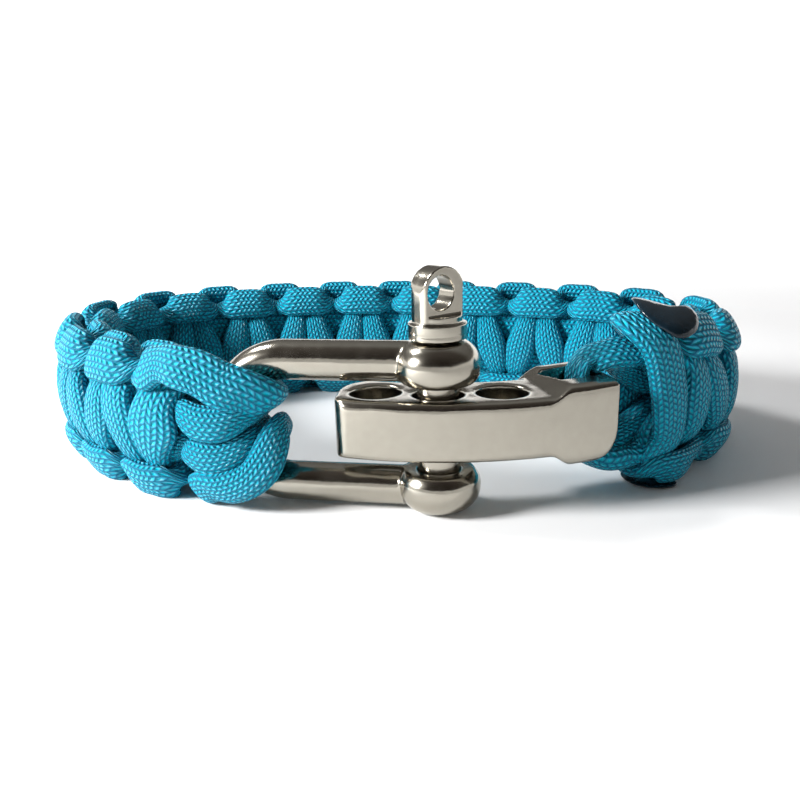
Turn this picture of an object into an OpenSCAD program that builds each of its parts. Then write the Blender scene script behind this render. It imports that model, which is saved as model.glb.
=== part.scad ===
// Paracord bracelet: a cobra weave of flat nylon cord between a steel bow shackle
// and a curved adjuster bar, lying on its edge. Lengths are millimetres.

/* [Shackle] */
// Thickness of the bent bar
bar_d = 4.8; // [4:0.1:5]
// Clear height between the two eyes
jaw_gap = 10.4; // [10:0.1:12]
// Distance from the pin to the middle of the bend
bow_reach = 18; // [17:0.5:22]
// Width across a flattened eye
eye_d = 9.9; // [9:0.1:11]
// Height of an eye beyond the middle of its arm
eye_out = 2.7; // [2.5:0.1:3.2]
// Turn of the bow away from the X axis, in degrees
bow_turn = 10; // [8:1:12]

/* [Pin] */
// Thickness of the pin's shank
pin_d = 4.9; // [4.4:0.1:5]
// Width of the collar under the pin's lug
collar_d = 6.7; // [6:0.1:8]
// Height of the collar with its groove
collar_h = 1.85; // [1.6:0.05:2.4]
// Thickness of the neck between collar and lug
neck_d = 5.6; // [4.6:0.1:5.8]
// Width of the flat lug
lug_w = 5.8; // [5.4:0.1:6.6]
// Thickness of the flat lug
lug_t = 2.7; // [2:0.1:3.2]
// Height of the lug's hole above the neck's foot
lug_rise = 3.4; // [3.2:0.1:5]
// Width of the lug's hole
lug_hole_d = 3.8; // [2:0.1:4]
// Distance of the hole from the lug's middle
lug_hole_off = 0.5; // [0:0.1:0.6]
// Turn of the lug's face from the X axis, in degrees
lug_turn = 37; // [-90:1:90]

/* [Adjuster bar] */
// Radius of the curve through the three holes
curve_r = 35; // [30:1:60]
// Distance between neighbouring holes
hole_pitch = 7.4; // [7:0.1:9]
// Width of each round hole
hole_d = 6; // [5.4:0.1:6.4]
// Width of the bar, from its inner to its outer face
plate_w = 10.3; // [9:0.1:11]
// Height of the bar where the holes are
plate_h = 7.05; // [6:0.1:8]
// Height of the end that holds the slot
end_h = 9.5; // [8.5:0.1:10]
// Length of the bar before the first hole
lead = 4.5; // [4.2:0.1:6]
// Distance from the last hole's middle to the slot
slot_gap = 6.5; // [6.3:0.1:8]
// Length of the slot that the cords pass through
slot_l = 4.8; // [4.8:0.1:6]
// Width of the slot
slot_w = 5.2; // [5.2:0.1:6]
// Thickness of the wall behind the slot
end_wall = 1.5; // [1.2:0.1:2]
// Turn of the bar away from the X axis, in degrees
plate_turn = -5; // [-8:1:-2]

/* [Cord] */
// Width of the round cord before it is pulled flat
cord_d = 4; // [3.6:0.1:4]

/* [Fit] */
// Clearance round the pin in the two eyes
pin_clear = 0.07; // [0.03:0.01:0.1]
// Gap between a steel piece and the cord on it
cord_clear = 0.15; // [0.1:0.05:0.3]

/* [Hidden] */
$fn = 48;
eps = 0.01;

// The pin's place, measured from the middle of the whole bracelet
pin_x = 6;
pin_y = -27.3;

// Heights: the lower eye and the band's lower edge both stand on z = 0
bend_r = (jaw_gap + bar_d) / 2;
bow_mid = bend_r + eye_out;
eye_top = bow_mid + bend_r + eye_out;

// Cord sections, as shares of the cord's width: [width, thickness]
flat = [1.15, 0.6];
leg = [0.58, 0.58];
core = [0.75, 0.46];
band_half = 2.34 * cord_d;
pitch = 1.29 * cord_d;

// Radius of a cord's centre line round the bow's bar
wrap_r = bar_d / 2 + flat[1] * cord_d / 2 + cord_clear;

// Adjuster bar: its curve's centre, and angle along it for a length at the holes
curve_mid = [-curve_r * sin(plate_turn), curve_r * cos(plate_turn)];
function along(t) = t / curve_r * 180 / PI;
plate_out = curve_r + 5;
slot_from = hole_pitch + slot_gap;
slot_mid = slot_from + slot_l / 2;
slot_to = slot_from + slot_l;
plate_to = slot_to + end_wall;
plate_from = -hole_pitch - lead;
slot_r = curve_r - 1.4;
plate_mid = bow_mid + 0.375;

// A place in the bow's own frame: a from the pin, o to the outer side, height z
function bow_at(a, o, z) = [-a * cos(bow_turn) - o * sin(bow_turn),
                            a * sin(bow_turn) - o * cos(bow_turn), z];
// A place round the bow's bar: angle along the bend, angle round the bar, distance
function on_bar(bend, round, far) =
    let (reach = bend_r + far * cos(round))
    bow_at(bow_reach + reach * cos(bend), far * sin(round), bow_mid + reach * sin(bend));
// A place along the adjuster: t from the pin, outer side o from the holes, height z
function bar_at(t, o, z) =
    let (turn = along(t) + plate_turn - 90, r = curve_r + o)
    [curve_mid[0] + r * cos(turn), curve_mid[1] + r * sin(turn), z];

// The band's middle line in plan, from the bow's bar to the slot
bar_end = bow_at(bow_reach + bend_r, 0, 0);
slot_end = bar_at(slot_mid, slot_r - curve_r, 0);
route = [[bar_end[0], bar_end[1]], [-32, 6.6], [-39, 11.6], [-46, 19], [-50.8, 29], [-51.2, 39],
         [-45.5, 48], [-35, 53], [-20, 55], [-4, 54], [12, 50], [25.6, 44.3], [35.6, 37],
         [39.7, 28.3], [37.4, 18.5], [31.6, 11.3], [24.5, 6], [slot_end[0], slot_end[1]]];
steps = 10;
last = len(route) - 1;
function curve(a, b, c, d, t) =
    (2 * b + (c - a) * t + (2 * a - 5 * b + 4 * c - d) * t * t + (3 * b - a - 3 * c + d) * t * t * t) / 2;
line = [for (i = [0 : last - 1], j = [0 : steps - 1])
            let (b = route[i], c = route[i + 1], a = i > 0 ? route[i - 1] : 2 * b - c,
                 d = i < last - 1 ? route[i + 2] : 2 * c - b)
            curve(a, b, c, d, j / steps),
        route[last]];
run = [for (i = 0, s = 0; i < len(line);
            s = s + (i < len(line) - 1 ? norm(line[i + 1] - line[i]) : 0), i = i + 1) s];
line_x = [for (i = [0 : len(line) - 1]) [run[i], line[i][0]]];
line_y = [for (i = [0 : len(line) - 1]) [run[i], line[i][1]]];
function spot(s) = [lookup(s, line_x), lookup(s, line_y)];
function ahead(s) = let (q = min(max(s, 1), run[len(run) - 1] - 1), d = spot(q + 1) - spot(q - 1)) d / norm(d);
// A place beside the middle line: s along it, w to the outer side, height z
function beside(s, w, z) = let (p = spot(s), h = ahead(s)) [p[0] - h[1] * w, p[1] + h[0] * w, z];
// The band grows taller, and its middle rises to the plate's, over its last stretch: 0 to 1
line_l = run[len(run) - 1];
function swell(s) = let (q = min(max((s - line_l + 8 * cord_d) / (5 * cord_d), 0), 1)) q * q * (3 - 2 * q);
// A place in the band: s along its middle line, u up, w to the outer side
function band_at(s, u, w) =
    beside(s, w, band_half + (plate_mid - band_half) * swell(s) + u * (1 + 0.1 * swell(s)));
// A direction in the band, from its parts along, up and out
function band_dir(s, f) = let (h = ahead(s)) [h[0] * f[0] - h[1] * f[2], h[1] * f[0] + h[0] * f[2], f[1]];

// Bars of the weave stand at first_bar + k * pitch, for k from 0 to the odd bar_count
first_bar = 8.2;
room = line_l - first_bar - 2.8 * cord_d;
bar_count = 2 * floor((room / pitch - 1) / 2) + 1;
step = room / bar_count;
function lean(s) = 0.12 + 0.12 * swell(s);

// Half of a half knot, from the middle of a bar to the top of the edge loop:
// [along (steps), up, out, width, thickness (cords), facing up, facing out]
half_knot = [
    [0, 0, 0.86, flat[0], flat[1], 0, 1],
    [-0.16, 0.88, 0.72, 0.74, 0.5, 0.25, 0.97],
    [-0.25, 1.42, 0.02, leg[0], leg[1], 0.85, 0.5],
    [-0.02, 1.77, -0.56, 0.85, 0.52, 0.75, -0.66],
    [0.5, 1.84, -0.66, flat[0], flat[1], 0.7, -0.7]];

// A row of a strand: [place, facing, width, thickness]. The outer side's bars lean to the
// slot at their tops, and what lies on the inner side is pulled a little narrower
tight = 0.88;
function knot_row(k, r, back, side, face) =
    let (up = side * r[1] * cord_d * face, out = r[2] * face,
         upright = first_bar + (k + (back ? 1 - r[0] : r[0])) * step,
         s = upright + lean(upright) * up * max(out, 0) / half_knot[0][2])
    [band_at(s, up, out * cord_d), band_dir(s, [0, side * r[5] * face, r[6] * face]),
     r[3] * cord_d * (out < 0 ? tight : 1), r[4] * cord_d];
function half_knot_rows(k, face) =
    let (side = k % 2 == 0 ? 1 : -1)
    concat([for (i = [0 : 4]) knot_row(k, half_knot[i], false, side, face)],
           [for (i = [3 : -1 : 1]) knot_row(k, half_knot[i], true, side, face)]);
function weave_rows(face) = [for (k = [0 : bar_count - 2]) each half_knot_rows(k, face)];
function next_to_last_rows(face) =
    [for (i = [0 : 3]) knot_row(bar_count - 1, half_knot[i], false, 1, face)];

// The last loops, looser and round the legs to the slot, from the last bar:
// [along (steps), up from the plate's middle, out, width, thickness (cords), facing up, facing out]
last_outer = [
    [-0.4, 2.04, -0.66, 1.1, 0.55, 0.7, -0.7], [0.25, 2.36, -0.55, 1.05, 0.5, 0.9, -0.4],
    [0.75, 2.56, -0.1, 1, 0.5, 0.97, 0.1], [0.74, 2.48, 0.35, 1.05, 0.52, 0.85, 0.5],
    [0.46, 2.15, 0.75, 1.15, 0.55, 0.55, 0.85], [0.26, 1.6, 0.93, 1.2, 0.55, 0.25, 0.95],
    [0.12, 0.8, 0.98, 1.2, 0.55, 0.05, 1], [0.02, 0, 0.98, 1.2, 0.55, 0, 1],
    [-0.05, -0.9, 0.88, 1.15, 0.5, -0.1, 1], [-0.02, -1.45, 0.62, 1, 0.42, -0.45, 0.85],
    [0, -1.84, 0.36, 0.75, 0.36, -0.6, 0.8]];
last_inner = [
    [-1.15, -1.95, 0.62, 0.9, 0.48, -0.6, 0.8], [-0.68, -2.02, 0.86, 0.92, 0.46, -0.25, 0.97],
    [-0.25, -2, 0.95, 0.92, 0.46, -0.15, 0.98], [0.14, -2.03, 0.72, 0.92, 0.46, -0.3, 0.85],
    [0.26, -2.18, 0.15, 0.85, 0.42, -0.8, 0.2], [0.16, -1.98, -0.5, 0.9, 0.48, -0.75, -0.6],
    [0.02, -1.08, -0.84, 1, 0.5, -0.2, -1], [0.02, 0, -0.86, 1.15, 0.55, 0, -1],
    [-0.06, 0.95, -0.78, 0.85, 0.45, 0.25, -1], [-0.2, 1.6, -0.3, 0.7, 0.45, 0.9, -0.4],
    [-0.3, 2, 0.2, 0.7, 0.4, 0.85, 0.5]];
// The melted ends, on top beside the last bar and under the last lower loop
tip_top = [
    [-0.64, 2.72, -0.7, 0.35, 0.14, 0.95, 0.1], [-0.42, 2.74, -0.28, 0.8, 0.2, 0.85, 0.5],
    [-0.36, 2.58, 0.28, 1, 0.22, 0.7, 0.7], [-0.4, 2.32, 0.86, 0.95, 0.22, 0.6, 0.8],
    [-0.46, 2.06, 1.2, 0.4, 0.18, 0.55, 0.84]];
tip_foot = [
    [0.05, -2.6, -0.7, 0.3, 0.1, -1, 0], [0.12, -2.6, -0.1, 0.65, 0.12, -1, 0],
    [0.06, -2.6, 0.4, 0.75, 0.12, -1, 0], [-0.2, -2.6, 0.72, 0.7, 0.12, -1, 0],
    [-0.45, -2.6, 0.78, 0.3, 0.1, -1, 0]];
function loop_at(r) =
    beside(first_bar + (bar_count + r[0]) * step, r[2] * cord_d, plate_mid + r[1] * cord_d);
function loop_rows(table) = [for (r = table)
    [loop_at(r), band_dir(first_bar + (bar_count + r[0]) * step, [0, r[5], r[6]]), r[3] * cord_d, r[4] * cord_d]];

// Core strands run straight inside the weave, in the four quarters of its middle
core_up = 0.4;
core_out = 0.25;
core_from = 9;
core_to = line_l - 4 * cord_d;
function core_rows(up, out, from, to) =
    let (n = ceil((to - from) / (1.4 * cord_d)))
    [for (i = [0 : n]) let (s = from + (to - from) * i / n)
        [band_at(s, up * core_up * cord_d, out * core_out * cord_d), band_dir(s, [0, 0, out]),
         core[0] * cord_d, core[1] * cord_d]];

// Rings of eight points round a strand's middle line, and the closed skin over them
function unit(v) = v / norm(v);
function ring(row, way) =
    let (out = unit(row[1] - way * (row[1] * way)), side = cross(way, out))
    [for (j = [0 : 7]) let (a = 22.5 + 45 * j)
        row[0] + side * (row[2] / 2 / cos(22.5) * cos(a)) + out * (row[3] / 2 / cos(22.5) * sin(a))];
module strand(rows) {
    n = len(rows);
    points = [for (i = [0 : n - 1])
        each ring(rows[i], unit(rows[min(i + 1, n - 1)][0] - rows[max(i - 1, 0)][0]))];
    skin = [for (i = [0 : n - 2], j = [0 : 7]) let (a = i * 8, b = a + 8, k = (j + 1) % 8)
        each [[a + j, a + k, b + k], [a + j, b + k, b + j]]];
    ends = [for (j = [1 : 6]) each [[0, j + 1, j], [(n - 1) * 8, (n - 1) * 8 + j, (n - 1) * 8 + j + 1]]];
    polyhedron(points, concat(skin, ends));
}

// Wraps on the bow: [angle along the bend, angle round the bar, distance (wraps),
// width, thickness (cords), angle that it faces]
wrap_upper = [
    [28, 18, 2.3, 1.05, 0.6, 30], [33, 35, 2.0, 1.15, 0.6, 45], [38, 53, 1.6, 1.2, 0.6, 60],
    [45, 80, 1.24, 1.2, 0.6, 80], [56, 109, 1.1, 1.05, 0.6, 109], [74, 140, 1.0, 0.8, 0.6, 140],
    [78, 180, 1.03, 0.65, 0.55, 180], [62, -143, 1.1, 0.6, 0.55, -143], [44, -109, 1.14, 0.6, 0.52, -109],
    [30, -72, 1.34, 0.6, 0.5, -80], [17, -40, 1.52, 0.6, 0.48, -75], [8, -14, 1.55, 0.65, 0.46, -85]];
wrap_upper_mid = [
    [6, 16, 1.5, 0.75, 0.5, 85], [6, 34, 1.36, 0.85, 0.52, 80], [4, 58, 1.2, 1.0, 0.55, 80],
    [5, 92, 1.1, 1.0, 0.55, 92], [17, 125, 1.1, 0.85, 0.52, 125], [27, 152, 1.08, 0.7, 0.5, 152],
    [31, 180, 1.04, 0.6, 0.5, 180], [28, -150, 1.08, 0.56, 0.5, -150], [17, -115, 1.08, 0.56, 0.5, -115],
    [8, -78, 1.1, 0.56, 0.5, -85]];
wrap_lower_mid = [
    [-6, -78, 1.1, 0.56, 0.5, -85], [-13, -115, 1.08, 0.56, 0.5, -115], [-17, -150, 1.08, 0.56, 0.5, -150],
    [-20, 180, 1.04, 0.6, 0.5, 180], [-24, 152, 1.08, 0.65, 0.5, 152], [-27, 122, 1.06, 0.75, 0.5, 122],
    [-26, 88, 1.08, 0.84, 0.5, 88], [-22, 58, 1.2, 1.0, 0.55, 80], [-17, 34, 1.36, 0.85, 0.52, 80],
    [-13, 16, 1.5, 0.75, 0.5, 85]];
wrap_lower = [
    [-31, -16, 2.45, 0.75, 0.4, -20], [-35, -9, 2.08, 0.75, 0.4, -5], [-37, 16, 1.76, 1.0, 0.5, 20],
    [-39, 37, 1.42, 1.05, 0.58, 37], [-47, 62, 1.26, 1.0, 0.56, 62], [-57, 94, 1.2, 0.95, 0.6, 94],
    [-63, 125, 1.3, 0.8, 0.5, 125], [-48, 158, 1.68, 0.65, 0.45, 158], [-8, 176, 1.74, 0.56, 0.45, 176],
    [-36, -158, 1.62, 0.56, 0.45, -158], [-48, -130, 1.32, 0.6, 0.5, -130], [-44, -100, 1.2, 0.6, 0.52, -100],
    [-30, -70, 1.34, 0.6, 0.5, -80], [-17, -40, 1.52, 0.6, 0.48, -75], [-9, -14, 1.55, 0.65, 0.46, -85]];
function wrap_rows(table) = [for (r = table)
    [on_bar(r[0], r[1], r[2] * wrap_r), on_bar(r[0], r[5], 1) - on_bar(r[0], r[5], 0),
     r[3] * cord_d, r[4] * cord_d]];

// Loops through the slot, the working cords' under the core's, from the slot's middle:
// [away from the slot, up from the plate's middle, out, width, thickness (cords), facing to the pin, up, out]
loop_under = [
    [0.4, 0.1, 0, 1.15, 0.2, 1, 0, 0], [0.4, 1.05, 0, 1.15, 0.22, 1, 0.1, 0],
    [0.54, 1.36, 0, 1.1, 0.3, 0.7, 0.7, 0], [1, 1.42, -0.02, 1.05, 0.34, 0, 1, 0],
    [1.6, 1.3, -0.2, 0.95, 0.42, -0.1, 1, -0.2], [2.2, 0.95, -0.3, 0.75, 0.44, -0.2, 0.6, -0.8],
    [2.9, 0.6, -0.27, 0.8, 0.46, 0, 0.3, -1]];
loop_over = [
    [0.1, 0, 0, 1.15, 0.26, 1, 0, 0], [0.1, 1.15, 0, 1.15, 0.28, 1, 0.1, 0],
    [0.3, 1.6, 0.02, 1.15, 0.34, 0.85, 0.5, 0.1], [0.82, 1.9, 0.05, 1.15, 0.42, 0, 0.95, 0.3],
    [1.5, 1.92, 0.08, 1.12, 0.44, 0, 0.92, 0.42], [2.15, 1.62, 0.16, 0.9, 0.44, -0.3, 0.95, 0.2],
    [2.75, 1.05, 0.26, 0.85, 0.46, -0.2, 0.5, 0.8], [3.4, 0.6, 0.26, 0.8, 0.46, 0, 0.2, 1]];
function slot_at(r, up) =
    let (o = slot_r - curve_r + r[2] * cord_d)
    r[0] < 1.2 ? bar_at(slot_mid + r[0] * cord_d, o, plate_mid + up * r[1] * cord_d)
               : beside(line_l - r[0] * cord_d, r[2] * cord_d, plate_mid + up * r[1] * cord_d);
function slot_rows(table, up) = [for (r = table)
    [slot_at(r, up), band_dir(line_l - max(r[0], 0) * cord_d, [r[5], up * r[6], r[7]]), r[3] * cord_d, r[4] * cord_d]];
function turned(rows) = [for (i = [len(rows) - 1 : -1 : 0]) rows[i]];

module shackle_eye() {
    inner_round = 1.7;
    outer_round = 3;
    h = bar_d / 2 + eye_out;
    r = eye_d / 2;
    rotate_extrude() {
        square([r - outer_round, h]);
        square([r - inner_round, h - outer_round]);
        translate([0, inner_round]) square([r, h - outer_round - inner_round]);
        translate([r - inner_round, inner_round]) circle(inner_round);
        intersection() {
            translate([r - outer_round, h - outer_round]) circle(outer_round);
            square([r, h]);
        }
    }
}

module shackle_bow() {
    color("silver")
    translate([pin_x, pin_y, 0]) rotate([0, 0, 180 - bow_turn])
    difference() {
        union() {
            for (side = [-1, 1]) {
                translate([0, 0, bow_mid + side * bend_r]) rotate([0, 90, 0]) cylinder(d = bar_d, h = bow_reach + eps);
                translate([0, 0, bow_mid + side * jaw_gap / 2]) mirror([0, 0, side < 0 ? 1 : 0]) shackle_eye();
            }
            translate([bow_reach, 0, bow_mid]) rotate([90, 0, 0]) rotate([0, 0, -90])
                rotate_extrude(angle = 180) translate([bend_r, 0]) circle(d = bar_d);
        }
        translate([0, 0, -1]) cylinder(d = pin_d + 2 * pin_clear, h = eye_top + 2);
    }
}

module shackle_pin() {
    seat = eye_top + pin_clear;
    groove = collar_h * 0.3;
    neck_h = 0.9;
    hole_z = seat + collar_h + lug_rise;
    color("silver")
    translate([pin_x, pin_y, 0])
    difference() {
        union() {
            translate([0, 0, 0.3]) cylinder(d = pin_d, h = seat - 0.3 + eps);
            translate([0, 0, seat]) cylinder(d = collar_d, h = groove);
            translate([0, 0, seat]) cylinder(d = collar_d - 0.7, h = collar_h);
            translate([0, 0, seat + groove + 0.2]) cylinder(d = collar_d, h = collar_h - groove - 0.2);
            translate([0, 0, seat + collar_h - eps]) cylinder(d = neck_d, h = neck_h);
            intersection() {
                translate([0, 0, hole_z]) rotate([90, 0, lug_turn]) linear_extrude(lug_t, center = true) {
                    circle(d = lug_w);
                    translate([-lug_w / 2, -lug_rise - eps]) square([lug_w, lug_rise]);
                }
                translate([0, 0, seat]) cylinder(d = lug_w + 0.1, h = 2 * lug_w);
            }
        }
        translate([0, 0, hole_z]) rotate([90, 0, lug_turn]) translate([-lug_hole_off, 0, 0])
            cylinder(d = lug_hole_d, h = collar_d, center = true);
    }
}

// A rounded bar section, seen along the curve: width from the inner to the outer face, height
module plate_section(w, h) {
    round = 1;
    translate([plate_out - w + round, -h / 2]) square([w - 2 * round, h]);
    translate([plate_out - w, -h / 2 + round]) square([w, h - 2 * round]);
    for (x = [plate_out - w + round, plate_out - round], y = [-h / 2 + round, h / 2 - round])
        translate([x, y]) circle(round, $fn = 32);
}

// A full ring of that section, of which the bar is an arc, and a quarter of a corner's outline
module plate_ring(w, h) {
    rotate_extrude($fn = 240) plate_section(w, h);
}
function corner(x, y, r, from) =
    [for (i = [0 : 6]) [x + r * cos(from + 15 * i), y + r * sin(from + 15 * i)]];

module adjuster_bar() {
    ramp_from = hole_pitch + hole_d / 2 + 0.9;
    ramp_l = slot_from - ramp_from;
    ramp_turn = along(ramp_from);
    ramp_foot = plate_h / 2 - 0.6;
    slope = (end_h / 2 - ramp_foot) / ramp_l;
    over = 0.5;
    end_w = plate_w + 0.9;
    back_round = 4.5;
    front_round = 2.8;
    foot_round = 3.7;
    tall = end_h + 2;
    plate_in = plate_out - plate_w;
    back_x = sqrt(pow(plate_in + back_round, 2) - pow(plate_from + back_round, 2)) - 0.1;
    front_x = sqrt(pow(plate_out - front_round, 2) - pow(plate_from + front_round, 2)) + 0.1;
    reach = plate_to - ramp_from;
    color("gainsboro")
    translate([pin_x, pin_y, 0]) translate([curve_mid[0], curve_mid[1], plate_mid])
    rotate([0, 0, plate_turn - 90])
    difference() {
        union() {
            intersection() {
                plate_ring(plate_w, plate_h);
                translate([0, 0, -tall / 2]) linear_extrude(tall)
                    polygon(concat(corner(back_x, plate_from + back_round, back_round, 180),
                                   corner(front_x, plate_from + front_round, front_round, 270),
                                   [[plate_out, plate_from + 2 * back_round],
                                    [plate_out + 2, hole_pitch], [plate_out, slot_from + 1],
                                    [plate_in - 3, slot_from + 1]]));
            }
            intersection() {
                plate_ring(end_w, end_h);
                rotate([90, 0, 90 + ramp_turn]) linear_extrude(plate_out + 10)
                    polygon(concat([[0, ramp_foot], [0, -ramp_foot]],
                                   [[ramp_l + over, -ramp_foot - slope * (ramp_l + over)]],
                                   corner(reach - foot_round, foot_round - end_h / 2 - 0.1, foot_round, 270),
                                   [[reach, ramp_foot + slope * (ramp_l + over)],
                                    [ramp_l + over, ramp_foot + slope * (ramp_l + over)]]));
            }
        }
        for (k = [-1 : 1]) rotate([0, 0, along(k * hole_pitch)]) translate([curve_r, 0, -tall / 2])
            cylinder(d = hole_d, h = tall);
        rotate([0, 0, along(slot_mid)]) translate([slot_r, 0, 0])
            cube([slot_w, slot_l, tall], center = true);
    }
}

// A working cord: up or down through the slot, along the core, round the bow and back in knots
module weave_cord(up, face, wrap, end) {
    color([0.1, 0.65, 0.78])
    translate([pin_x, pin_y, 0])
    strand(concat(
        slot_rows(loop_under, up), turned(core_rows(up, -1, core_from, core_to)),
        turned(wrap_rows(wrap)),
        [for (i = [3 : -1 : 1]) knot_row(-1, half_knot[i], true, -1, face)],
        weave_rows(face), next_to_last_rows(face), loop_rows(end)));
}

module weave_cord_upper() {
    weave_cord(1, -1, wrap_upper, last_inner);
}

module weave_cord_lower() {
    weave_cord(-1, 1, wrap_lower, last_outer);
}

module core_cord() {
    seam = 0.15;
    half = (core_from + core_to) / 2;
    color([0.05, 0.5, 0.62])
    translate([pin_x, pin_y, 0])
    strand(concat(
        turned(core_rows(1, 1, core_from, half - seam)),
        wrap_rows(wrap_upper_mid), wrap_rows(wrap_lower_mid),
        core_rows(-1, 1, core_from, core_to),
        turned(slot_rows(loop_over, -1)), slot_rows(loop_over, 1),
        turned(core_rows(1, 1, half + seam, core_to))));
}

module melted_tip_upper() {
    color([0.02, 0.05, 0.08])
    translate([pin_x, pin_y, 0]) strand(loop_rows(tip_top));
}

module melted_tip_lower() {
    color([0.02, 0.05, 0.08])
    translate([pin_x, pin_y, 0]) strand(loop_rows(tip_foot));
}

shackle_bow();
shackle_pin();
adjuster_bar();
weave_cord_upper();
weave_cord_lower();
core_cord();
melted_tip_upper();
melted_tip_lower();
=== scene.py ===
import math
import bpy
import numpy as np
from mathutils import Matrix


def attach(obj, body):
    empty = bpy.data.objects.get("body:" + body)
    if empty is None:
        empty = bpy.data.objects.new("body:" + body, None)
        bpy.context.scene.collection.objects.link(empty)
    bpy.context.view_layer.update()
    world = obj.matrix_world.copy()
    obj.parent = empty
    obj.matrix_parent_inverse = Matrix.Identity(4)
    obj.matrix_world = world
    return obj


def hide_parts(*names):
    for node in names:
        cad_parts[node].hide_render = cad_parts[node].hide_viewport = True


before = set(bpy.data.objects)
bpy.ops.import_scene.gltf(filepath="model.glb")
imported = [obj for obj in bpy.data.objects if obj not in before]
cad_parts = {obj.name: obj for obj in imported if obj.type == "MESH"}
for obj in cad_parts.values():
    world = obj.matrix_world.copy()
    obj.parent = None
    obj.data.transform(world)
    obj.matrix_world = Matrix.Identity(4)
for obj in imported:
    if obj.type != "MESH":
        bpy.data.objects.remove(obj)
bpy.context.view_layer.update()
# The bracelet's own sizes are in mm, the room's in metres. Its places count from the pin
mm = 0.001
pin_at = np.array([6.0, -27.3, 0.0])

# The view of the photograph: a close camera, a little above the bracelet and slightly
# rolled, over a white sheet that is lit by soft light from the upper left and that,
# further out, glows with painted light.
# The sensor in mm, the focal length and the picture's width in pixels, the turns in degrees
sensor, focal_px, picture_px = 36.0, 810, 800
look_down, rolled = 16.36, -1.43
camera_from_pin = np.array([-4.42, -89.81, 39.76])


def add(name, data):
    """An object of the scene that holds the given data."""
    made = bpy.data.objects.new(name, data)
    bpy.context.scene.collection.objects.link(made)
    return made


camera_data = bpy.data.cameras.new("camera")
camera = add("camera", camera_data)
camera_data.sensor_width = sensor
camera_data.lens = sensor * focal_px / picture_px
camera_data.clip_start = 0.002
camera.rotation_mode = "QUATERNION"
pitch, roll = math.radians(90 - look_down), math.radians(rolled)
tilt = np.array([[1, 0, 0], [0, math.cos(pitch), -math.sin(pitch)], [0, math.sin(pitch), math.cos(pitch)]])
turn = np.array([[math.cos(roll), -math.sin(roll), 0], [math.sin(roll), math.cos(roll), 0], [0, 0, 1]])
place = np.eye(4)
place[:3, :3] = tilt @ turn
place[:3, 3] = (camera_from_pin + pin_at) * mm
camera.matrix_world = Matrix(place.tolist())
bpy.context.scene.camera = camera


class Value:
    """A number in a material, held as a socket: reckoning with it adds the Math nodes."""

    def __init__(self, finish, socket):
        self.finish, self.socket = finish, socket

    def reckon(self, operation, *others):
        return self.finish.node("ShaderNodeMath", {"operation": operation}, {
            i: value for i, value in enumerate(others)})

    def __add__(self, other): return self.reckon("ADD", self, other)
    def __radd__(self, other): return self.reckon("ADD", other, self)
    def __sub__(self, other): return self.reckon("SUBTRACT", self, other)
    def __rsub__(self, other): return self.reckon("SUBTRACT", other, self)
    def __mul__(self, other): return self.reckon("MULTIPLY", self, other)
    def __rmul__(self, other): return self.reckon("MULTIPLY", other, self)
    def __truediv__(self, other): return self.reckon("DIVIDE", self, other)
    def __pow__(self, other): return self.reckon("POWER", self, other)
    def wave(self): return self.reckon("SINE", self * math.tau)
    def size(self): return self.reckon("ABSOLUTE", self)
    def whole(self): return self.reckon("FLOOR", self)
    def part(self): return self.reckon("FRACT", self)
    def most(self, other): return self.reckon("MAXIMUM", self, other)
    def least(self, other): return self.reckon("MINIMUM", self, other)
    def share(self): return self.most(0.0).least(1.0)


class Finish:
    """A material, or the world's light, whose nodes are all made by one method."""

    def __init__(self, name, world=False):
        kind = bpy.data.worlds if world else bpy.data.materials
        self.data = kind.new(name)
        self.data.use_nodes = True
        self.tree = self.data.node_tree
        self.shader = self.tree.nodes["Background" if world else "Principled BSDF"]

    def node(self, kind, settings, sockets, out=0):
        made = self.tree.nodes.new(kind)
        for name, value in settings.items():
            if name == "stops":
                ramp = made.color_ramp.elements
                while len(ramp) < len(value):
                    ramp.new(0.5)
                for stop, (where, colour) in zip(ramp, value):
                    stop.position, stop.color = where, (*colour, 1)
            else:
                setattr(made, name, value)
        for name, value in sockets.items():
            self.join(value, made.inputs[name])
        return Value(self, made.outputs[out])

    def join(self, value, socket):
        if isinstance(value, Value):
            self.tree.links.new(value.socket, socket)
        elif isinstance(value, tuple) and socket.type == "RGBA":
            socket.default_value = (*value, 1)
        else:
            socket.default_value = value

    def set(self, **sockets):
        for name, value in sockets.items():
            self.join(value, self.shader.inputs[name.replace("_", " ")])

    def split(self, value):
        """The three parts of a vector."""
        parts = self.node("ShaderNodeSeparateXYZ", {}, {0: value}).socket.node.outputs
        return [Value(self, part) for part in parts]

    def ramp(self, value, *stops):
        """Colour from stop to stop as a value goes from 0 to 1."""
        return self.node("ShaderNodeValToRGB", {"stops": stops}, {0: value})

    def blend(self, share, first, second, how="MIX"):
        """Colour from first to second as share goes from 0 to 1, or their product."""
        settings = {"data_type": "RGBA", "blend_type": how}
        return self.node("ShaderNodeMix", settings, {0: share, 6: first, 7: second}, out=2)

    def bump(self, height, strength, deep):
        """A normal that follows a height, which stands for deep metres at 1."""
        return self.node("ShaderNodeBump", {}, {"Height": height, "Strength": strength, "Distance": deep})

    def noise(self, where, scale, detail=2.0):
        return self.node("ShaderNodeTexNoise", {}, {"Vector": where, "Scale": scale, "Detail": detail})


def ring_faces(rings, sides):
    """The faces of a skin over rings of points: the ring and the side of each face's
    first corner, and its four corners, two on that ring and two on the next."""
    i, j = np.meshgrid(np.arange(rings - 1), np.arange(sides), indexing="ij")
    k = (j + 1) % sides
    corners = [i * sides + j, i * sides + k, (i + 1) * sides + k, (i + 1) * sides + j]
    return i, j, np.stack(corners, -1).reshape(-1, 4)


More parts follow.
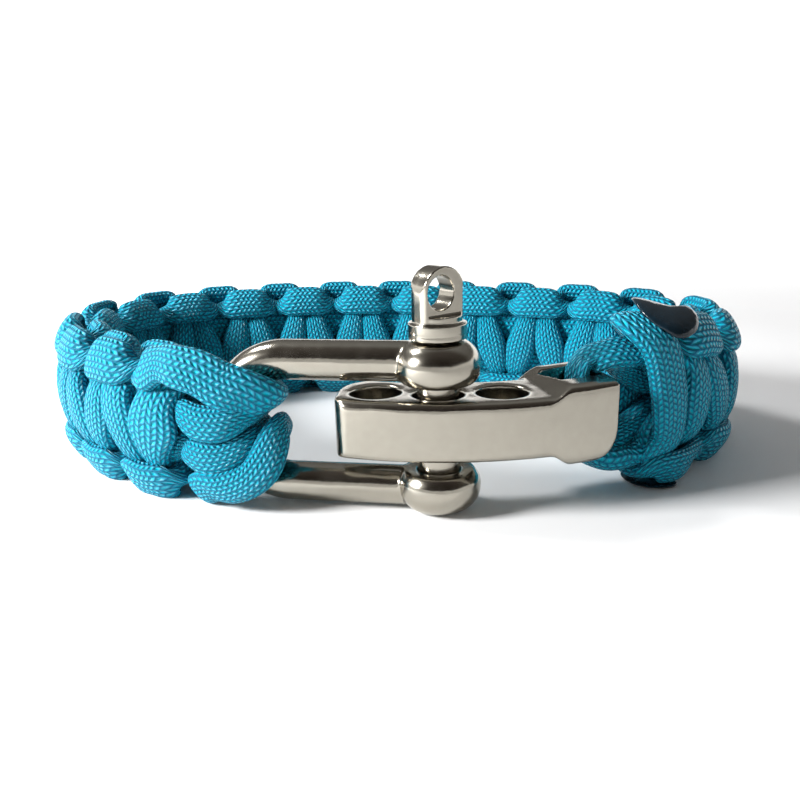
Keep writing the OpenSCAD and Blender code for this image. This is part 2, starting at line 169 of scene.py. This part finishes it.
def smooth_mesh(name, points, faces):
    """A mesh in metres that is shaded smoothly."""
    mesh = bpy.data.meshes.new(name)
    mesh.from_pydata(points.reshape(-1, 3).tolist(), [], faces)
    mesh.polygons.foreach_set("use_smooth", np.ones(len(mesh.polygons), bool))
    return mesh


white = Finish("white sheet")
right, behind, _ = white.split(white.node("ShaderNodeTexCoord", {}, {}, out=3))
# The sheet glows, as painted light that keeps it white: not at all near the bracelet,
# more and more further out all round, and most of all behind the bracelet
no_glow_r, glow_rise, behind_rise = 0.12, 4.5, 4
glow_round, glow_behind = 0.35, 0.75
away = ((right * right + behind * behind) ** 0.5 - no_glow_r) * glow_rise
painted_glow = away.share() * ((behind * behind_rise).share() * glow_behind + glow_round)
white.set(Base_Color=(0.93, 0.935, 0.94), Roughness=0.7, Emission_Strength=1.0, Emission_Color=painted_glow)
# One round sheet of paper: flat under the bracelet and curved up at its rim, a quarter ring
flat_r, rim_r, paper_sides, rim_steps = 0.7, 0.3, 96, 24
bend = np.linspace(0, math.pi / 2, rim_steps)
paper_r = np.concatenate([[0.0], flat_r + rim_r * np.sin(bend)])[:, None]
paper_z = np.concatenate([[0.0], rim_r - rim_r * np.cos(bend)])[:, None]
bearing = np.arange(paper_sides) / paper_sides * math.tau
paper = np.stack([paper_r * np.cos(bearing), paper_r * np.sin(bearing), paper_z + 0 * bearing], -1)
paper_faces = ring_faces(len(paper), paper_sides)[2][:, ::-1]
floor = add("paper", smooth_mesh("paper", paper, paper_faces.tolist()))
floor.data.materials.append(white.data)
bpy.context.scene.view_settings.view_transform = "Standard"

air = Finish("soft room light", world=True)
_, back, height = air.split(air.node("ShaderNodeTexCoord", {}, {}))
front = back * -1
# From below to above: the pale table, warm walls, a dark band over them and a grey ceiling
room = air.ramp(height * 0.5 + 0.5, (0.0, (0.7, 0.7, 0.7)), (0.54, (0.42, 0.39, 0.35)),
                (0.61, (0.1, 0.092, 0.083)), (0.95, (0.26, 0.26, 0.26)))
# From behind to the front the room grows darker and browner
dark = air.ramp(front * 0.5 + 0.5, (0.38, (1.2, 1.2, 1.2)), (0.55, (0.45, 0.4, 0.37)),
                (0.9, (0.2, 0.165, 0.145)))
air.set(Color=air.blend(1.0, room, dark, "MULTIPLY"), Strength=1.0)
bpy.context.scene.world = air.data


def lamp(name, watts, size, at, to):
    """A square soft white light of the given size, turned from one point to another."""
    data = bpy.data.lights.new(name, "AREA")
    data.energy, data.size = watts, size
    toward = np.array(to, float) - np.array(at, float)
    toward /= np.linalg.norm(toward)
    side = np.cross(toward, [0, 0, 1])
    side /= np.linalg.norm(side)
    stand = np.eye(4)
    stand[:3, :3] = np.array([side, np.cross(side, toward), -toward]).T
    stand[:3, 3] = at
    add(name, data).matrix_world = Matrix(stand.tolist())


middle = (0, 0, 0.01)
lamp("window", 3.0, 0.1, (-0.32, -0.1, 0.165), middle)
lamp("second window", 0.75, 0.08, (-0.2, 0.08, 0.28), middle)

# The shackle, its pin and the adjuster bar are cast in stainless steel, tumbled and
# polished, so that every edge is rounded, the faces are never quite flat and bright
# metal carries warm, dark and pale bands of what stands round it.
steel = Finish("polished cast steel")
spot = steel.node("ShaderNodeTexCoord", {}, {}, out=3)
swell = steel.noise(spot, 260.0, 1.0)
grain = steel.noise(spot, 4200.0, 2.0)
wear = steel.noise(spot, 900.0, 3.0)
uneven = swell * 0.35 + wear * 0.02 + grain * 0.003
dull, bright = (0.35, 0.325, 0.275), (0.405, 0.38, 0.325)
steel.set(Base_Color=steel.blend(wear, dull, bright), Metallic=1.0,
          Roughness=wear * 0.10 + 0.13, Normal=steel.bump(uneven, 0.35, 0.0012))
# Points this near, in metres, are one; each easing moves a point by this share of the way
same_place, ease_share = 1e-7, 0.5


def cast(name, node, voxel, rounds, body):
    """A copy of a steel node as the foundry leaves it: its skin is laid again in small
    even squares, and each point is moved several times to the middle of its neighbours,
    which rounds every edge and fills every inner corner a little."""
    made = add(name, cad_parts[node].data.copy())
    weld = made.modifiers.new("weld", "WELD")
    weld.merge_threshold = same_place
    skin = made.modifiers.new("skin", "REMESH")
    skin.mode, skin.voxel_size, skin.use_smooth_shade = "VOXEL", voxel * mm, True
    ease = made.modifiers.new("ease", "SMOOTH")
    ease.factor, ease.iterations = ease_share, rounds
    seen = made.evaluated_get(bpy.context.evaluated_depsgraph_get())
    made.data = bpy.data.meshes.new_from_object(seen)
    made.modifiers.clear()
    made.data.materials.clear()
    made.data.materials.append(steel.data)
    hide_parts(node)
    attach(made, body)


cast("steel_bow", "shackle_bow", 0.18, 16, "bracelet")
cast("steel_pin", "shackle_pin", 0.10, 14, "pin")
cast("steel_adjuster", "adjuster_bar", 0.16, 30, "bracelet")

# The woven band is one pair of 4 mm nylon cords tied in cobra knots round the core
# cords. Each has a braided sheath, round where it is free, pulled flat over the knots.
cord = 4.0
bar_d, jaw_gap, bow_reach, bow_turn = 4.8, 10.4, 18.0, math.radians(10)
eye_out, curve_r, hole_pitch = 2.7, 35.0, 7.4
plate_turn = math.radians(-5)
slot_gap, slot_l, slot_in, plate_lift, cord_clear = 6.5, 4.8, 1.4, 0.375, 0.15
# Width and thickness, in cords, of the strand where it lies flat, on a leg and in the core:
# fuller than the solids', so that neighbours press on each other
flat, leg, core = (1.24, 0.62), (0.84, 0.70), (1.35, 0.62)
band_half = 2.34 * cord
pitch_of_bars = 1.29 * cord
bend_r = (jaw_gap + bar_d) / 2
bow_mid = bend_r + eye_out
plate_mid = bow_mid + plate_lift
wrap_r = bar_d / 2 + flat[1] * cord / 2 + cord_clear
slot_mid = hole_pitch + slot_gap + slot_l / 2
slot_r = curve_r - slot_in
curve_mid = np.array([-curve_r * math.sin(plate_turn), curve_r * math.cos(plate_turn)])


def bow_at(a, o, z):
    """A place in the bow's own frame: a from the pin, o to the outer side, height z."""
    c, s = math.cos(bow_turn), math.sin(bow_turn)
    return np.stack([-a * c - o * s, a * s - o * c, z], -1)


def on_bar(bend, around, far):
    """A place round the bow's bar: the angle along the bend, the angle round the bar
    and the distance from the bar's middle, the bend being a half ring on bow_reach."""
    bend, around = np.radians(bend), np.radians(around)
    reach = bend_r + far * np.cos(around)
    return bow_at(bow_reach + reach * np.cos(bend), far * np.sin(around), bow_mid + reach * np.sin(bend))


def bar_at(t, o, z):
    """A place along the adjuster: t from the pin on its curve, o outwards, height z."""
    angle = t / curve_r + plate_turn - math.pi / 2
    return np.stack([curve_mid[0] + (curve_r + o) * np.cos(angle),
                     curve_mid[1] + (curve_r + o) * np.sin(angle), z + 0 * angle], -1)


ends = bow_at(bow_reach + bend_r, 0.0, 0.0)[:2], bar_at(slot_mid, slot_r - curve_r, 0.0)[:2]
route = np.array([ends[0], [-32, 6.6], [-39, 11.6], [-46, 19], [-50.8, 29], [-51.2, 39],
                  [-45.5, 48], [-35, 53], [-20, 55], [-4, 54], [12, 50], [25.6, 44.3], [35.6, 37],
                  [39.7, 28.3], [37.4, 18.5], [31.6, 11.3], [24.5, 6], ends[1]])


def through(points, steps):
    """A smooth curve through points, Catmull and Rom's: each stretch is a cubic whose
    slope at a point is half the step between the point's two neighbours."""
    points = np.asarray(points, float)
    guard = np.vstack([2 * points[0] - points[1], points, 2 * points[-1] - points[-2]])
    a, b, c, d = (guard[i:len(guard) - 3 + i, None] for i in range(4))
    t = (np.arange(steps) / steps)[None, :, None]
    bent = (2 * b + (c - a) * t + (2 * a - 5 * b + 4 * c - d) * t ** 2 + (3 * b - a - 3 * c + d) * t ** 3) / 2
    return np.vstack([bent.reshape(-1, points.shape[1]), points[-1:]])


route_steps, near = 10, 1
line = through(route, route_steps)
run = np.concatenate([[0], np.cumsum(np.linalg.norm(np.diff(line, axis=0), axis=1))])
line_l = run[-1]


def along(s):
    """The place on the band's middle line at the length s."""
    return np.stack([np.interp(s, run, line[:, 0]), np.interp(s, run, line[:, 1])], -1)


def ahead(s):
    """The way that the middle line goes at s, taken from the places near it."""
    q = np.clip(s, near, line_l - near)
    d = along(q + near) - along(q - near)
    return d / np.linalg.norm(d, axis=-1, keepdims=True)


def beside(s, w, z):
    """A place beside the band's middle line: s along it, w to the outer side, height z."""
    p, h = along(s), ahead(s)
    return np.stack([p[..., 0] - h[..., 1] * w, p[..., 1] + h[..., 0] * w, z + 0 * p[..., 0]], -1)


# The band rises to the adjuster's height, and grows, over this run before its end
rise_from, rise_run, rise_more = 8 * cord, 5 * cord, 0.1


def rise(s):
    """From 0 to 1 along the rise: with q the share of its run, three times the square
    of q less twice its cube."""
    q = np.clip((s - line_l + rise_from) / rise_run, 0, 1)
    return q * q * (3 - 2 * q)


def band_at(s, u, w):
    """A place in the band: s along its middle line, u up from it, w to the outer side."""
    return beside(s, w, band_half + (plate_mid - band_half) * rise(s) + u * (1 + rise_more * rise(s)))


def band_dir(s, f):
    """A direction in the band, from its parts along, up and out."""
    h = ahead(s)
    return np.array([h[0] * f[0] - h[1] * f[2], h[1] * f[0] + h[0] * f[2], f[1]])


# Bars of the weave stand at first_bar + k * step, for k from 0 to the odd bar_count
first_bar, past_last_bar = 8.2, 2.8 * cord
room_for_bars = line_l - first_bar - past_last_bar
bar_count = 2 * math.floor((room_for_bars / pitch_of_bars - 1) / 2) + 1
step = room_for_bars / bar_count
# The lean of a bar towards the slot, and how much narrower or wider a strand is pulled:
# on the inner side, and on the outer side of the first bar
lean, tight, first_full = 0.12, 0.88, 1.38

# Half of a half knot: along (steps), up, out, width, thickness (cords), facing up, facing out
half_knot = [
    [0, 0, 0.86, flat[0], flat[1], 0, 1], [-0.16, 0.88, 0.72, 0.95, 0.58, 0.25, 0.97],
    [-0.25, 1.42, 0.02, leg[0], leg[1], 0.85, 0.5], [-0.02, 1.77, -0.56, 1.25, 0.64, 0.55, -0.85],
    [0.5, 1.84, -0.66, 1.32, flat[1], 0.5, -0.85]]


def knot_row(k, r, back, side, face):
    """One row of a strand in the weave: its place, facing, width and thickness."""
    up, out = side * r[1] * cord * face, r[2] * face
    upright = first_bar + (k + (1 - r[0] if back else r[0])) * step
    s = upright + (lean + lean * rise(upright)) * up * max(out, 0) / half_knot[0][2]
    pulled = tight if out < 0 else first_full if k == 0 and face > 0 else 1
    return [*band_at(s, up, out * cord), *band_dir(s, [0, side * r[5] * face, r[6] * face]),
            r[3] * cord * pulled, r[4] * cord]


def weave_rows(face):
    """All the rows of a working strand in the weave, which changes side at each knot."""
    rows = []
    for k in range(bar_count - 1):
        side = 1 if k % 2 == 0 else -1
        rows += [knot_row(k, half_knot[i], False, side, face) for i in range(5)]
        rows += [knot_row(k, half_knot[i], True, side, face) for i in (3, 2, 1)]
    return rows + [knot_row(bar_count - 1, half_knot[i], False, 1, face) for i in range(4)]


# The last loops and the melted ends, measured from the last bar:
# along (steps), up from the bar's middle, out, width, thickness (cords), facing up, facing out
last_outer = [
    [-0.4, 2.04, -0.66, 1.1, 0.55, 0.7, -0.7], [0.15, 2.4, -0.55, 1.05, 0.5, 0.9, -0.4],
    [0.55, 2.56, -0.1, 1.05, 0.5, 0.97, 0.1], [0.58, 2.48, 0.35, 1.15, 0.52, 0.85, 0.5],
    [0.38, 2.12, 0.75, 1.2, 0.55, 0.55, 0.85], [0.24, 1.6, 0.93, 1.2, 0.55, 0.25, 0.95],
    [0.12, 0.8, 0.98, 1.2, 0.55, 0.05, 1], [0.02, 0, 0.98, 1.2, 0.55, 0, 1],
    [-0.05, -0.9, 0.88, 1.15, 0.5, -0.1, 1], [0.02, -1.45, 0.66, 1.2, 0.46, -0.45, 0.85],
    [0.05, -1.95, 0.4, 1.15, 0.4, -0.6, 0.8]]
last_inner = [
    [-1.15, -1.95, 0.62, 0.9, 0.48, -0.6, 0.8], [-0.68, -2.02, 0.86, 0.92, 0.46, -0.25, 0.97],
    [-0.25, -2, 0.95, 0.92, 0.46, -0.15, 0.98], [0.14, -2.03, 0.72, 0.92, 0.46, -0.3, 0.85],
    [0.26, -2.18, 0.15, 0.85, 0.42, -0.8, 0.2], [0.16, -1.98, -0.5, 0.9, 0.48, -0.75, -0.6],
    [0.02, -1.08, -0.84, 1, 0.5, -0.2, -1], [0.02, 0, -0.86, 1.15, 0.55, 0, -1],
    [-0.06, 0.95, -0.78, 0.85, 0.45, 0.25, -1], [-0.2, 1.6, -0.3, 0.7, 0.45, 0.9, -0.4],
    [-0.3, 2, 0.2, 0.7, 0.4, 0.85, 0.5]]
tip_top = [
    [-0.64, 2.72, -0.7, 0.35, 0.14, 0.95, 0.1], [-0.34, 2.86, -0.28, 1.3, 0.22, 0.85, 0.5],
    [-0.16, 2.84, 0.28, 1.7, 0.26, 0.7, 0.7], [-0.2, 2.56, 0.86, 1.5, 0.26, 0.6, 0.8],
    [-0.28, 2.2, 1.22, 0.9, 0.2, 0.55, 0.84]]
tip_foot = [
    [0.05, -2.6, -0.7, 0.3, 0.1, -1, 0], [0.12, -2.6, -0.1, 0.65, 0.12, -1, 0],
    [0.06, -2.6, 0.4, 0.75, 0.12, -1, 0], [-0.2, -2.6, 0.72, 0.7, 0.12, -1, 0],
    [-0.45, -2.6, 0.78, 0.3, 0.1, -1, 0]]


def loop_rows(table):
    """The rows of a last loop or a melted end."""
    return [[*beside(s, r[2] * cord, plate_mid + r[1] * cord), *band_dir(s, [0, r[5], r[6]]),
             r[3] * cord, r[4] * cord] for r in table for s in [first_bar + (bar_count + r[0]) * step]]


# Core strands run straight inside the weave, in the four quarters of its middle
core_from, core_to = 9.0, line_l - 4 * cord
core_up, core_out, core_step, core_gap = 0.62 * cord, 0.25 * cord, 1.4 * cord, 0.15


def core_rows(up, out, start, stop):
    """The rows of one core strand between two places along the band."""
    n = math.ceil((stop - start) / core_step)
    return [[*band_at(s, up * core_up, out * core_out), *band_dir(s, [0, 0, out]),
             core[0] * cord, core[1] * cord] for s in np.linspace(start, stop, n + 1)]


# Wraps on the bow: angle along the bend, angle round the bar, distance (wraps),
# width, thickness (cords), angle that it faces
wrap_upper = [
    [28, 18, 2.3, 1.05, 0.6, 30], [33, 35, 2.0, 1.15, 0.6, 45], [38, 53, 1.6, 1.2, 0.6, 60],
    [41, 80, 1.26, 1.3, 0.62, 80], [49, 109, 1.15, 1.3, 0.6, 109], [55, 140, 1.12, 1.35, 0.7, 140],
    [57, 178, 1.06, 1.0, 0.6, 178], [52, -143, 1.1, 0.6, 0.55, -143], [44, -109, 1.14, 0.6, 0.52, -109],
    [30, -72, 1.34, 0.6, 0.5, -80], [17, -40, 1.52, 0.6, 0.48, -75], [8, -14, 1.55, 0.65, 0.46, -85]]
wrap_upper_mid = [
    [6, 16, 1.5, 0.75, 0.5, 85], [6, 34, 1.36, 0.85, 0.52, 80], [4, 58, 1.2, 1.0, 0.55, 80],
    [5, 92, 1.1, 1.0, 0.55, 92], [17, 125, 1.1, 0.85, 0.52, 125], [27, 152, 1.08, 0.7, 0.5, 152],
    [31, 180, 1.04, 0.6, 0.5, 180], [28, -150, 1.08, 0.56, 0.5, -150], [17, -115, 1.08, 0.56, 0.5, -115],
    [8, -78, 1.1, 0.56, 0.5, -85]]
wrap_lower_mid = [
    [-6, -78, 1.1, 0.56, 0.5, -85], [-13, -115, 1.08, 0.56, 0.5, -115], [-17, -150, 1.08, 0.56, 0.5, -150],
    [-20, 180, 1.04, 0.6, 0.5, 180], [-24, 152, 1.08, 0.65, 0.5, 152], [-27, 122, 1.06, 0.75, 0.5, 122],
    [-26, 88, 1.08, 0.84, 0.5, 88], [-22, 58, 1.2, 1.0, 0.55, 80], [-17, 34, 1.36, 0.85, 0.52, 80],
    [-13, 16, 1.5, 0.75, 0.5, 85]]
wrap_lower = [
    [-31, -16, 2.45, 0.75, 0.4, -20], [-35, -9, 2.08, 0.75, 0.4, -5], [-37, 16, 1.76, 1.0, 0.5, 20],
    [-39, 37, 1.42, 1.05, 0.58, 37], [-47, 62, 1.26, 1.0, 0.56, 62], [-57, 94, 1.2, 0.95, 0.6, 94],
    [-63, 125, 1.3, 1.0, 0.55, 125], [-48, 158, 1.68, 0.85, 0.5, 158], [-8, 176, 1.74, 0.56, 0.45, 176],
    [-36, -158, 1.62, 0.56, 0.45, -158], [-48, -130, 1.32, 0.6, 0.5, -130], [-44, -100, 1.2, 0.6, 0.52, -100],
    [-30, -70, 1.34, 0.6, 0.5, -80], [-17, -40, 1.52, 0.6, 0.48, -75], [-9, -14, 1.55, 0.65, 0.46, -85]]


def wrap_rows(table):
    """The rows of a wrap, whose facing is the way out from the bar at the angle given."""
    return [[*on_bar(r[0], r[1], r[2] * wrap_r), *(on_bar(r[0], r[5], 1.0) - on_bar(r[0], r[5], 0.0)),
             r[3] * cord, r[4] * cord] for r in table]


# Loops through the slot: away from it, up from the bar's middle, out, width,
# thickness (cords), facing to the pin, up, out
loop_under = [
    [0.48, 0.1, 0, 1.15, 0.2, 1, 0, 0], [0.48, 1.05, 0, 1.15, 0.22, 1, 0.1, 0],
    [0.54, 1.36, 0, 1.1, 0.3, 0.7, 0.7, 0], [1, 1.42, -0.02, 1.05, 0.34, 0, 1, 0],
    [1.6, 1.3, -0.2, 0.95, 0.42, -0.1, 1, -0.2], [2.2, 0.95, -0.3, 0.75, 0.44, -0.2, 0.6, -0.8],
    [2.9, 0.6, -0.27, 0.8, 0.46, 0, 0.3, -1]]
loop_over = [
    [0.3, 0, 0, 1.15, 0.26, 1, 0, 0], [0.34, 1.12, 0, 1.15, 0.28, 1, 0.1, 0],
    [0.7, 1.42, 0.02, 1.2, 0.4, 0.85, 0.5, 0.1], [1.3, 1.64, 0.05, 1.2, 0.5, 0, 0.95, 0.3],
    [1.9, 1.66, 0.1, 1.15, 0.5, 0, 0.92, 0.42], [2.4, 1.45, 0.18, 0.9, 0.48, -0.3, 0.95, 0.2],
    [2.85, 1.0, 0.26, 0.85, 0.46, -0.2, 0.5, 0.8], [3.4, 0.6, 0.26, 0.8, 0.46, 0, 0.2, 1]]


# Up to this many cords from the slot a loop's places are on the adjuster, further on in
# the band. Under the bar the loops are this much thicker
on_plate, under_full = 1.2, 1.5


def slot_rows(table, up):
    """The rows of a loop through the slot, over the bar or, mirrored, under it."""
    rows = []
    for r in table:
        if r[0] < on_plate:
            at = bar_at(slot_mid + r[0] * cord, slot_r - curve_r + r[2] * cord, plate_mid + up * r[1] * cord)
        else:
            at = beside(line_l - r[0] * cord, r[2] * cord, plate_mid + up * r[1] * cord)
        rows.append([*at, *band_dir(line_l - max(r[0], 0) * cord, [r[5], up * r[6], r[7]]),
                     r[3] * cord, r[4] * cord * (under_full if up < 0 else 1)])
    return rows


nylon = Finish("braided nylon")
around, length, _ = nylon.split(nylon.node("ShaderNodeUVMap", {"uv_map": "laid"}, {}))
# Columns of short stitches go round the sheath: each column stands half a stitch on from
# the last, and every second one slants the other way, as the threads cross in a braid
columns, stitch_l, slanting = 20, 0.78, 0.4
column = around * columns
slant = (column.whole() * 0.5).part() * 4 - 1
stitch = length / stitch_l + column.whole() * 0.5 + (column.part() - 0.5) * slant * slanting
groove = (column * 0.5).wave().size()
crown = (stitch * 0.5).wave().size()
plait = groove * crown
here = nylon.node("ShaderNodeTexCoord", {}, {}, out=3)
tone_noise = nylon.noise(here, 120.0)
fuzz = nylon.noise(here, 2600.0)
# The stitches' crowns stand over the grooves by this many metres, with a little fuzz
stitch_deep, fuzzy = 0.00036, 0.05
nap = nylon.bump(plait ** 1.6 + fuzz * fuzzy, 1.0, stitch_deep)
# The crowns take the nylon's own blue and the grooves between the stitches a far darker blue: painted shade
# in the grooves, on top of the shading that the bump gives
groove_painted_shade = nylon.blend(tone_noise, (0.0, 0.055, 0.13), (0.0, 0.085, 0.18))
on_crown = nylon.blend(tone_noise, (0.0, 0.41, 0.57), (0.0, 0.52, 0.7))
nylon.set(Base_Color=nylon.blend(plait ** 0.8, groove_painted_shade, on_crown), Roughness=0.85 - plait * 0.66,
          Normal=nap, Specular_IOR_Level=0.32)

# Half an oval's width and thickness as shares of a row's, the power that fills it out
# and how many times as wide as thick it is taken to be when the braid is laid round it
half_wide, half_thick, full, oval = 0.56, 0.54, 0.88, 1.9
# The rings over which an end tapers, the part of one that its first ring stands in, and
# the height of the skin where a cord rests on the table
taper_rings, blunt, rests_at = 5.0, 0.4, 0.03


def strand(name, rows, node, finish, between=8, rounds=36):
    """A cord's skin. Its rows go through a smooth curve; at each place an oval ring is
    drawn, width times cos(a) to the side and thickness times sin(a) to its facing,
    both raised to a power under 1 so that the flattened cord has full, round edges."""
    rows = np.array(rows, float)
    rows[:, 3:6] /= np.linalg.norm(rows[:, 3:6], axis=1, keepdims=True)
    smooth = through(rows, between)
    middle, out = smooth[:, :3] + pin_at, smooth[:, 3:6]
    forward = np.gradient(middle, axis=0)
    forward /= np.linalg.norm(forward, axis=1, keepdims=True)
    out = out - forward * (out * forward).sum(1, keepdims=True)
    out /= np.linalg.norm(out, axis=1, keepdims=True)
    side = np.cross(forward, out)
    a = np.arange(rounds) / rounds * math.tau
    across = np.sign(np.cos(a)) * np.abs(np.cos(a)) ** full
    over = np.sign(np.sin(a)) * np.abs(np.sin(a)) ** full
    n = len(middle)
    from_end = np.minimum(np.arange(n), np.arange(n)[::-1])
    q = np.clip((from_end + blunt) / taper_rings, 0, 1)
    taper = np.sqrt(q * (2 - q))
    wide, thick = smooth[:, 6] * half_wide * taper, smooth[:, 7] * half_thick * taper
    skin = (middle[:, None] + side[:, None] * (wide[:, None] * across[None])[..., None]
            + out[:, None] * (thick[:, None] * over[None])[..., None])
    # The cord is flat where it rests on the table
    skin[..., 2] = np.maximum(skin[..., 2], rests_at)
    i, j, quads = ring_faces(n, rounds)
    caps = [list(range(rounds))[::-1], [(n - 1) * rounds + q for q in range(rounds)]]
    mesh = smooth_mesh(name, skin * mm, quads.tolist() + caps)
    far = np.concatenate([[0], np.cumsum(np.linalg.norm(np.diff(middle, axis=0), axis=1))])
    girth = np.concatenate([[0], np.cumsum(np.hypot(*(np.diff(np.append(v, v[0])) * s
                                                     for v, s in ((across, oval), (over, 1.0)))))])
    girth /= girth[-1]
    laid = np.zeros((len(mesh.loops), 2))
    corners = quads.size
    laid[:corners, 0] = np.stack([girth[j], girth[j + 1], girth[j + 1], girth[j]], -1).reshape(-1)
    laid[:corners, 1] = np.stack([far[i], far[i], far[i + 1], far[i + 1]], -1).reshape(-1)
    mesh.uv_layers.new(name="laid").data.foreach_set("uv", laid.reshape(-1))
    mesh.materials.append(finish.data)
    made = add(name, mesh)
    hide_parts(node)
    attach(made, "bracelet")


def working_cord(name, node, up, face, wrap, end):
    """A working strand: out of the slot, back to the bow inside the weave, round the bow,
    and through every knot to its last loop."""
    strand(name, slot_rows(loop_under, up) + core_rows(up, -1, core_from, core_to)[::-1]
           + wrap_rows(wrap)[::-1] + [knot_row(-1, half_knot[i], True, -1, face) for i in (3, 2, 1)]
           + weave_rows(face) + loop_rows(end), node, nylon)


working_cord("upper_cord", "weave_cord_upper", 1, -1, wrap_upper, last_inner)
working_cord("lower_cord", "weave_cord_lower", -1, 1, wrap_lower, last_outer)
half_way = (core_from + core_to) / 2
strand("inner_cord", core_rows(1, 1, core_from, half_way - core_gap)[::-1] + wrap_rows(wrap_upper_mid)
       + wrap_rows(wrap_lower_mid) + core_rows(-1, 1, core_from, core_to) + slot_rows(loop_over, -1)[::-1]
       + slot_rows(loop_over, 1) + core_rows(1, 1, half_way + core_gap, core_to)[::-1],
       "core_cord", nylon)

# The cut ends of the cord, melted with a flame and pressed flat while soft: the nylon
# sets hard, nearly black and glossy, with a dull burnt patch here and there.
burnt = Finish("melted nylon")
lumps = burnt.noise(burnt.node("ShaderNodeTexCoord", {}, {}, out=3), 700.0, 3.0)
burnt.set(Base_Color=burnt.blend(lumps, (0.002, 0.005, 0.008), (0.008, 0.022, 0.034)),
          Roughness=lumps * 0.12 + 0.08, Specular_IOR_Level=0.3, Normal=burnt.bump(lumps, 0.35, 0.0003))
tips = ("upper_tip", tip_top, "melted_tip_upper"), ("lower_tip", tip_foot, "melted_tip_lower")
for name, table, node in tips:
    strand(name, loop_rows(table), node, burnt, between=10, rounds=24)
